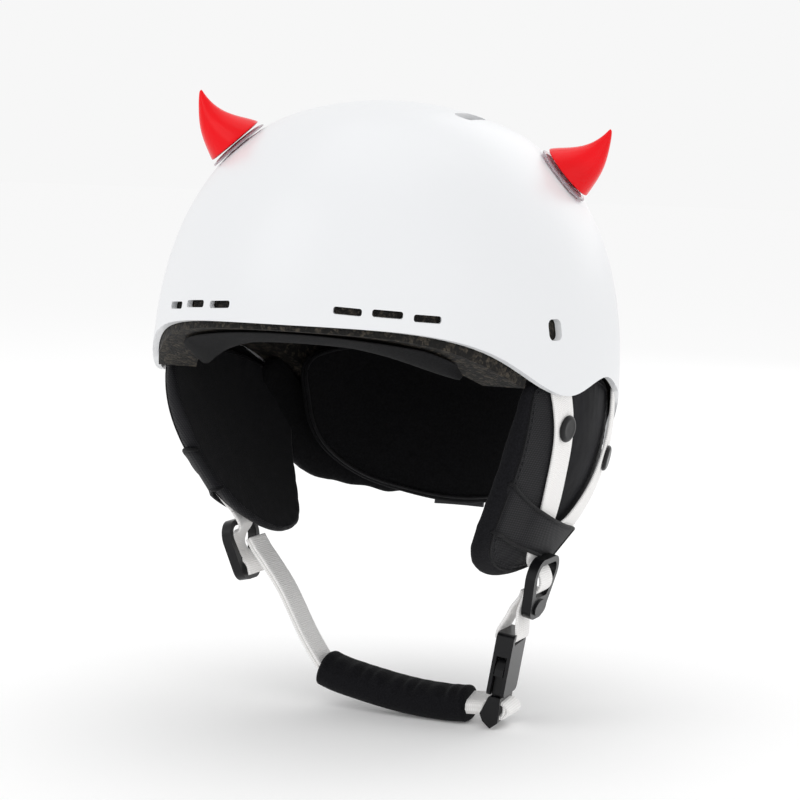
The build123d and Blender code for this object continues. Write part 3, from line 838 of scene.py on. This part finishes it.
def ear_pads():
    """Both ear pads, with a seam, stitches, and the cloth of each face."""
    softshell_number, twill_number, wall_number, fleece_number = range(4)
    for side_name in SIDES:
        surface = cheek(side_name)
        outline = lowered(side_name, EAR_PAD_OUTLINE[side_name])
        route = sorted((z, y) for y, z in lowered(side_name, FRONT_STRAP_ROUTE))
        heights, middles = zip(*route)

        def cloth(zone, y, z):
            if zone == WALL:
                return wall_number
            if zone == INNER_FACE:
                return fleece_number
            return twill_number if y < np.interp(z, heights, middles) or z < -72 else softshell_number

        wall = FLEECE if side_name == "left" else TWILL
        pad(f"ear_pad_{side_name}_soft", outline, surface, (0.2, EAR_PAD_THICKNESS), 4.4, (0.5, 3.2),
            [SOFTSHELL, TWILL, wall, FLEECE], "helmet", [f"ear_pad_{side_name}"], centre=EAR_PAD_CENTRE,
            count=160, ripple=0.2, pick=cloth, wall_depth=ear_pad_wall)
        seam = [surface(y, z, 0.35) for y, z in inset_ring(outline, EAR_PAD_CENTRE, 3.4)]
        tube(f"ear_pad_{side_name}_seam", seam, 0.55, BINDING, "helmet", closed=True)
        row = [surface(y, z, -0.02) for y, z in inset_ring(outline, EAR_PAD_CENTRE, 5.6)]
        stitches(f"ear_pad_{side_name}_stitches", row, THREAD, "helmet")


class Divider:
    """Local frame of a strap divider: up along the plate and out of its outer face."""
    def __init__(self, side_name):
        side = SIDES[side_name]
        self.centre = np.array((side * DIVIDER_X[side_name], CHIN_Y, DIVIDER_Z[side_name]))
        self.up = np.array((side * math.sin(DIVIDER_TILT), 0, math.cos(DIVIDER_TILT)))
        self.out = np.array((side * math.cos(DIVIDER_TILT), 0, -math.sin(DIVIDER_TILT)))

    def at(self, up, out, y=0.0):
        return self.centre + self.up * up + self.out * out + np.array((0, y, 0))


def on_cheek(side_name, route, depth):
    """A strap's centre line on an ear pad, and the direction of its width at each point."""
    surface = cheek(side_name)
    flat = smooth_curve(lowered(side_name, route), 44)
    centres = [np.array(surface(y, z, depth)) for y, z in flat]
    normals = [surface_normal(surface, y, z, depth) for y, z in flat]
    widths = [np.cross(heading(np.array(centres), i), normals[i]) for i in range(len(centres))]
    return centres, widths


FRONT_STRAP_DEPTH, REAR_STRAP_DEPTH = -1.3, -3.1
FRONT_STRAP_WIDTH = 16.5
TURNING_POINTS = 12


def straps():
    """Front and rear straps; the front one goes on through the divider's window."""
    for side_name in SIDES:
        plate = Divider(side_name)
        centres, widths = on_cheek(side_name, FRONT_STRAP_ROUTE, FRONT_STRAP_DEPTH)
        tail = smooth_curve([centres[-1], plate.at(15.5, -4.6, -3), plate.at(11.5, -2.6), plate.at(8.0, 0.9),
                             plate.at(4.0, 2.9), plate.at(0.0, 2.2), plate.at(-4.0, -1.6),
                             plate.at(-8.0, -4.4), plate.at(-13.0, -4.8)], 46)[1:]
        last = widths[-1]
        level = np.array((0, math.copysign(1.0, last[1]), 0))
        turning = [unit(last + (level - last) * min(1.0, k / TURNING_POINTS))
                   for k in range(1, len(tail) + 1)]
        ribbon(f"front_strap_{side_name}_webbing", centres + list(tail), widths + turning, WHITE_WEBBING,
               "helmet", width=FRONT_STRAP_WIDTH, replaces=[f"front_strap_{side_name}"])
        centres, widths = on_cheek(side_name, REAR_STRAP_ROUTE, REAR_STRAP_DEPTH)
        ribbon(f"rear_strap_{side_name}_webbing", centres, widths, WHITE_WEBBING, "helmet",
               replaces=[f"rear_strap_{side_name}"])


# Upper and lower edge of each strap keeper: y, z, depth under the ear pad's face
KEEPER_EDGES = {
    "left": ([(-57.2, -34.0, 1.6), (-55.5, -35.5, -0.5), (-52.5, -38.0, -1.0), (-46, -42, -1.2),
              (-36, -47.5, -1.8), (-28, -51.5, -3.6), (-14, -57, -5.0), (2, -61.5, -5.2), (16, -64.5, -5.0),
              (24, -66, -4.4)],
             [(-53.6, -58.0, 1.6), (-52.0, -59.2, -0.5), (-49, -60.5, -1.0), (-44, -63, -1.2),
              (-34, -67, -1.8), (-24, -70.5, -3.4), (-12, -74, -3.8), (0, -77, -3.8), (10, -78.5, -3.8),
              (16, -79, -3.4)]),
    "right": ([(-47.5, -34, 8), (-50.0, -34.3, 5), (-48.0, -34.8, 0.8), (-44, -36.5, -1.0), (-38, -41, -1.4),
               (-31, -46.5, -3.0), (-22, -52, -4.6), (-10, -57.5, -5.0), (4, -62, -5.2), (16, -64.5, -5.0),
               (24, -66, -4.4)],
              [(-34.5, -56, 8), (-37.2, -56.8, 5), (-35.2, -57.8, 0.8), (-31, -60, -1.4), (-27, -62, -3.0),
               (-20, -66, -3.6), (-10, -71, -3.8), (0, -75, -3.8), (10, -77.5, -3.8), (16, -78.5, -3.4)])}


def keepers():
    """Band across each ear pad's lower part, sewn down at the front and with bound edges."""
    for side_name in SIDES:
        surface = cheek(side_name)
        edges = [[surface(*spot) for spot in lowered(side_name, edge)] for edge in KEEPER_EDGES[side_name]]
        upper, lower = band(f"strap_keeper_{side_name}_band", *edges, 0.8, TWILL, "helmet",
                            replaces=[f"strap_keeper_{side_name}"])
        corner = smooth_curve([upper[-1], (upper[-1] + lower[-1]) / 2, lower[-1]], 12)
        hem = [*upper, *corner[1:-1], *reversed(lower)]
        tube(f"strap_keeper_{side_name}_hem", hem, 1.0, BINDING, "helmet")


# Radius and height, from the strap up and in to the dished top
SNAP_CAP_PROFILE = [(0.4, 0.0), (6.2, 0.0), (6.6, 0.4), (6.6, 1.1), (6.2, 1.8), (5.2, 2.3), (4.4, 2.35),
                    (3.6, 2.2), (0.4, 2.25)]
# Place on the ear pad and depth of each cap's foot: y, z, depth
SNAP_CAP_PLACES = {"front": (-28.5, -10.0, -2.2), "rear": (36.5, -31.0, -3.9)}


def snap_caps():
    """Two press-stud caps on each ear pad's straps."""
    for side_name in SIDES:
        surface = cheek(side_name)
        for place_name, place in SNAP_CAP_PLACES.items():
            spot, = lowered(side_name, [place])
            turned(f"snap_cap_{side_name}_{place_name}", SNAP_CAP_PROFILE, surface(*spot),
                   surface_normal(surface, *spot), BLACK_PLASTIC, "helmet", [f"snap_caps_{side_name}"])


# Centre lines at CHIN_Y: x, z
CHIN_STRAP_ROUTE = [(-70.5, -80.5), (-66.5, -86.5), (-62.0, -92.0), (-51.9, -105.6), (-40.1, -126.7),
                    (-31.5, -139.5), (-27.0, -144.5)]
CHIN_PAD_ROUTE = [(-29.0, -143.2), (-16.0, -147.2), (14.0, -152.6), (36.0, -154.2), (51.0, -153.7)]
ACROSS = (0, 1, 0)
LAYER_STEP = 1.8
PLUG_TAIL_THICK = 7.4


def buckle_at(up, out):
    """Point in the buckle's frame: up along its axis from the mouth and out of its broad face."""
    axis = np.array((math.sin(BUCKLE_TILT), 0, math.cos(BUCKLE_TILT)))
    face = np.array((math.cos(BUCKLE_TILT) * math.cos(BUCKLE_TWIST), math.sin(BUCKLE_TWIST),
                     -math.sin(BUCKLE_TILT) * math.cos(BUCKLE_TWIST)))
    return np.array(BUCKLE_MOUTH) + axis * up + face * out


def chin_assembly():
    """Chin strap, its sleeve, the webbing round the plug's bars, and the short strap above the buckle."""
    flat = smooth_curve(CHIN_STRAP_ROUTE, 70)
    for layer, shift in (("outer", 0.0), ("inner", LAYER_STEP)):
        centres = []
        for i, (x, z) in enumerate(flat):
            ahead = heading(flat, i)
            centres.append((x - ahead[1] * shift, CHIN_Y, z + ahead[0] * shift))
        ribbon(f"chin_strap_{layer}_webbing", centres, [ACROSS] * len(centres), WHITE_WEBBING,
               ("helmet", "chin_strap", (-70, CHIN_Y, -82), (-54, CHIN_Y, -102)),
               replaces=["chin_strap"] if layer == "outer" else ())
    chin_pad()
    for layer, bulge, slack in (("outer", 7.9, 0.0), ("inner", 5.9, 0.4)):
        loop = smooth_curve([buckle_at(-4.0, -5.5), buckle_at(-4.2, 0), buckle_at(-3.9 - slack, 5.0 - slack),
                             buckle_at(-7.4, bulge), buckle_at(-10.9 + slack, 5.2 - slack),
                             buckle_at(-10.6, 0), buckle_at(-10.6, -7)], 70)
        ribbon(f"plug_webbing_{layer}", loop, [ACROSS] * len(loop), WHITE_WEBBING, "plug",
               replaces=["plug_webbing"] if layer == "outer" else ())
    tail = smooth_curve([(46.5, CHIN_Y, -153.2), (52.5, CHIN_Y, -152.9), (57.5, CHIN_Y, -152.6),
                         buckle_at(-7.3, -4.0)], 24)
    ribbon("plug_webbing_tail", tail, [(0.1, 1, 0.25)] * len(tail), WHITE_WEBBING, "plug",
           thick=PLUG_TAIL_THICK)
    plate = Divider("left")
    loop = smooth_curve([plate.at(-2, -3.5), plate.at(-7, -3.9), plate.at(-12, -4.6), buckle_at(38, 3.9),
                         buckle_at(34.5, 4.4), buckle_at(31, 4.9), buckle_at(28.6, 4.2), buckle_at(28, 0),
                         buckle_at(28.6, -4.4), buckle_at(31, -4.8), (68.0, CHIN_Y, -111.8),
                         (70.9, CHIN_Y, -106.8), (74.0, CHIN_Y, -101.0), plate.at(-6, -5.8),
                         plate.at(-2, -5.2)], 150)
    ribbon("short_strap_webbing", loop, [ACROSS] * len(loop), WHITE_WEBBING,
           ("helmet", "buckle_end", (77, CHIN_Y, -100), (72, CHIN_Y, -113)), replaces=["short_strap"])


CHIN_PAD_HALF_WIDE, CHIN_PAD_HALF_TALL = 10.8, 8.9
CHIN_PAD_SEAM_ANGLE = 2.2


def chin_pad():
    """Fleece sleeve round the chin strap, gathered along its top seam."""
    path, sides = smooth_curve(CHIN_PAD_ROUTE, 120), 44
    points = []
    for i, (x, z) in enumerate(path):
        ahead = heading(path, i)
        up = np.array((-ahead[1], 0.0, ahead[0]))
        end = min(i, len(path) - 1 - i)
        taper = (0.80, 0.93, 0.98)[end] if end < 3 else 1.0
        gather = 0.9 * math.sin(i * 0.55 + 0.9 * math.sin(i * 0.17)) + 0.4 * math.sin(i * 0.29 + 1)
        for s in range(sides):
            angle = 2 * math.pi * s / sides
            across = rounded(math.cos(angle), 0.75) * CHIN_PAD_HALF_WIDE
            tall = rounded(math.sin(angle), 0.8) * CHIN_PAD_HALF_TALL
            seam = max(0.0, math.cos(angle - CHIN_PAD_SEAM_ANGLE)) ** 4
            swell = (1 - 0.08 * seam) * taper
            lift = gather * seam * 0.9
            points.append(np.array((x, CHIN_Y + across * swell, z)) + up * (tall * swell + lift))
    new_piece("chin_pad_sleeve", points, skin(len(path), sides), [FLEECE],
              ("chin_strap", "plug", (-29, CHIN_Y, -143), (48, CHIN_Y, -153)), replaces=["chin_pad"])


# Where each horn's suction cup sits on the shell, and the direction out of the shell there
HORN_SEATS = {"left": ((82.0, 19.8, 108.5), (0.756, 0.119, 0.643)),
              "right": ((-63.0, -45.4, 119.3), (-0.596, -0.286, 0.750))}
# Each ring of a horn: height over the shell, radius, and shift towards the crown
HORN_SECTIONS = [(2.4, 14.5, 0.0), (3.2, 14.7, 0.0), (5.0, 13.9, -0.3), (8.0, 12.4, -0.9), (11.0, 10.8, -1.6),
                 (14.5, 9.0, -2.1), (18.0, 7.3, -2.2), (22.0, 5.4, -1.6), (26.0, 3.6, -0.3), (29.5, 2.1, 1.2),
                 (31.8, 1.1, 2.5), (32.6, 0.5, 3.0)]
CUP_PROFILE = [(0.5, 0.9), (8.0, 0.7), (14.6, -0.1), (15.6, -0.2), (16.0, 0.2), (15.4, 0.8), (13.5, 1.5),
               (8.0, 2.1), (0.5, 2.2)]


def horns():
    """Two curved horns, each on a clear suction cup."""
    for side_name, (seat, normal) in HORN_SEATS.items():
        axis = unit(normal)
        up = unit(np.array((0, 0, 1.0)) - axis * axis[2])
        over = np.cross(axis, up)
        points = []
        for height, radius, shift in HORN_SECTIONS:
            for s in range(ROUND_SEGMENTS):
                angle = 2 * math.pi * s / ROUND_SEGMENTS
                points.append(np.array(seat) + axis * height + up * (shift + radius * math.cos(angle))
                              + over * radius * math.sin(angle))
        new_piece(f"horn_{side_name}_body", points, skin(len(HORN_SECTIONS), ROUND_SEGMENTS), [RED_PLASTIC],
                  f"horn_{side_name}", replaces=[f"horn_{side_name}"], smooth=2)
        turned(f"suction_cup_{side_name}_disc", CUP_PROFILE, seat, axis, CLEAR_PLASTIC, "helmet",
               [f"suction_cup_{side_name}"])


camera()
studio()
hard_parts()
brow_pad()
comfort_pads()
neck_roll()
rim_skirts()
ear_pads()
straps()
keepers()
snap_caps()
chin_assembly()
horns()
